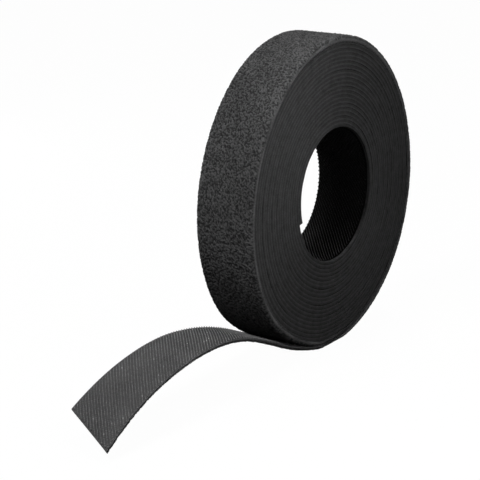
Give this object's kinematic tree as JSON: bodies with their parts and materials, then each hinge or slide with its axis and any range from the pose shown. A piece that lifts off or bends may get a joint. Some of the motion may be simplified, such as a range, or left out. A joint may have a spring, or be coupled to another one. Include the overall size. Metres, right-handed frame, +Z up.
{
  "type": "hook and loop tape roll",
  "caption": "Coreless roll of black back-to-back hook and loop tape standing on edge, hook side inwards, with a slant-cut free end that bends up from the table.",
  "frame": {"origin": "middle of the flat at the bottom of the roll, on the surface it stands on", "axes": "+Z up, +Y along the roll's axis, and the free end of the tape leaves towards -X"},
  "size_m": [0.1748, 0.02, 0.1024],
  "materials": {
    "hook_side": "black nylon backing under a field of fine moulded hooks, low sheen",
    "loop_side": "black brushed nylon loop pile, dull"
  },
  "bodies": {
    "roll": {"hook_tape_wound": "hook_side", "loop_tape_wound": "loop_side"},
    "tail_root": {"hook_tape_tail_root": "hook_side", "loop_tape_tail_root": "loop_side"},
    "tail_mid": {"hook_tape_tail_mid": "hook_side", "loop_tape_tail_mid": "loop_side"},
    "tail_end": {"hook_tape_tail_end": "hook_side", "loop_tape_tail_end": "loop_side"}
  },
  "joints": [
    {"name": "tail_root_bend", "type": "hinge", "parent": "roll", "child": "tail_root", "pos_m": [-0.02794, 0, 0.00621], "axis": [0, 1, 0], "range_deg": [-1.4, 14], "stiffness_Nm_per_rad": 0.03, "springref_deg": 0.97},
    {"name": "tail_mid_bend", "type": "hinge", "parent": "tail_root", "child": "tail_mid", "pos_m": [-0.06036, 0, 0.01691], "axis": [0, 1, 0], "range_deg": [0, 40], "stiffness_Nm_per_rad": 0.015, "springref_deg": 0.89},
    {"name": "tail_end_bend", "type": "hinge", "parent": "tail_mid", "child": "tail_end", "pos_m": [-0.09443, 0, 0.0154], "axis": [0, 1, 0], "range_deg": [0, 50], "stiffness_Nm_per_rad": 0.006, "springref_deg": 0.46}
  ]
}
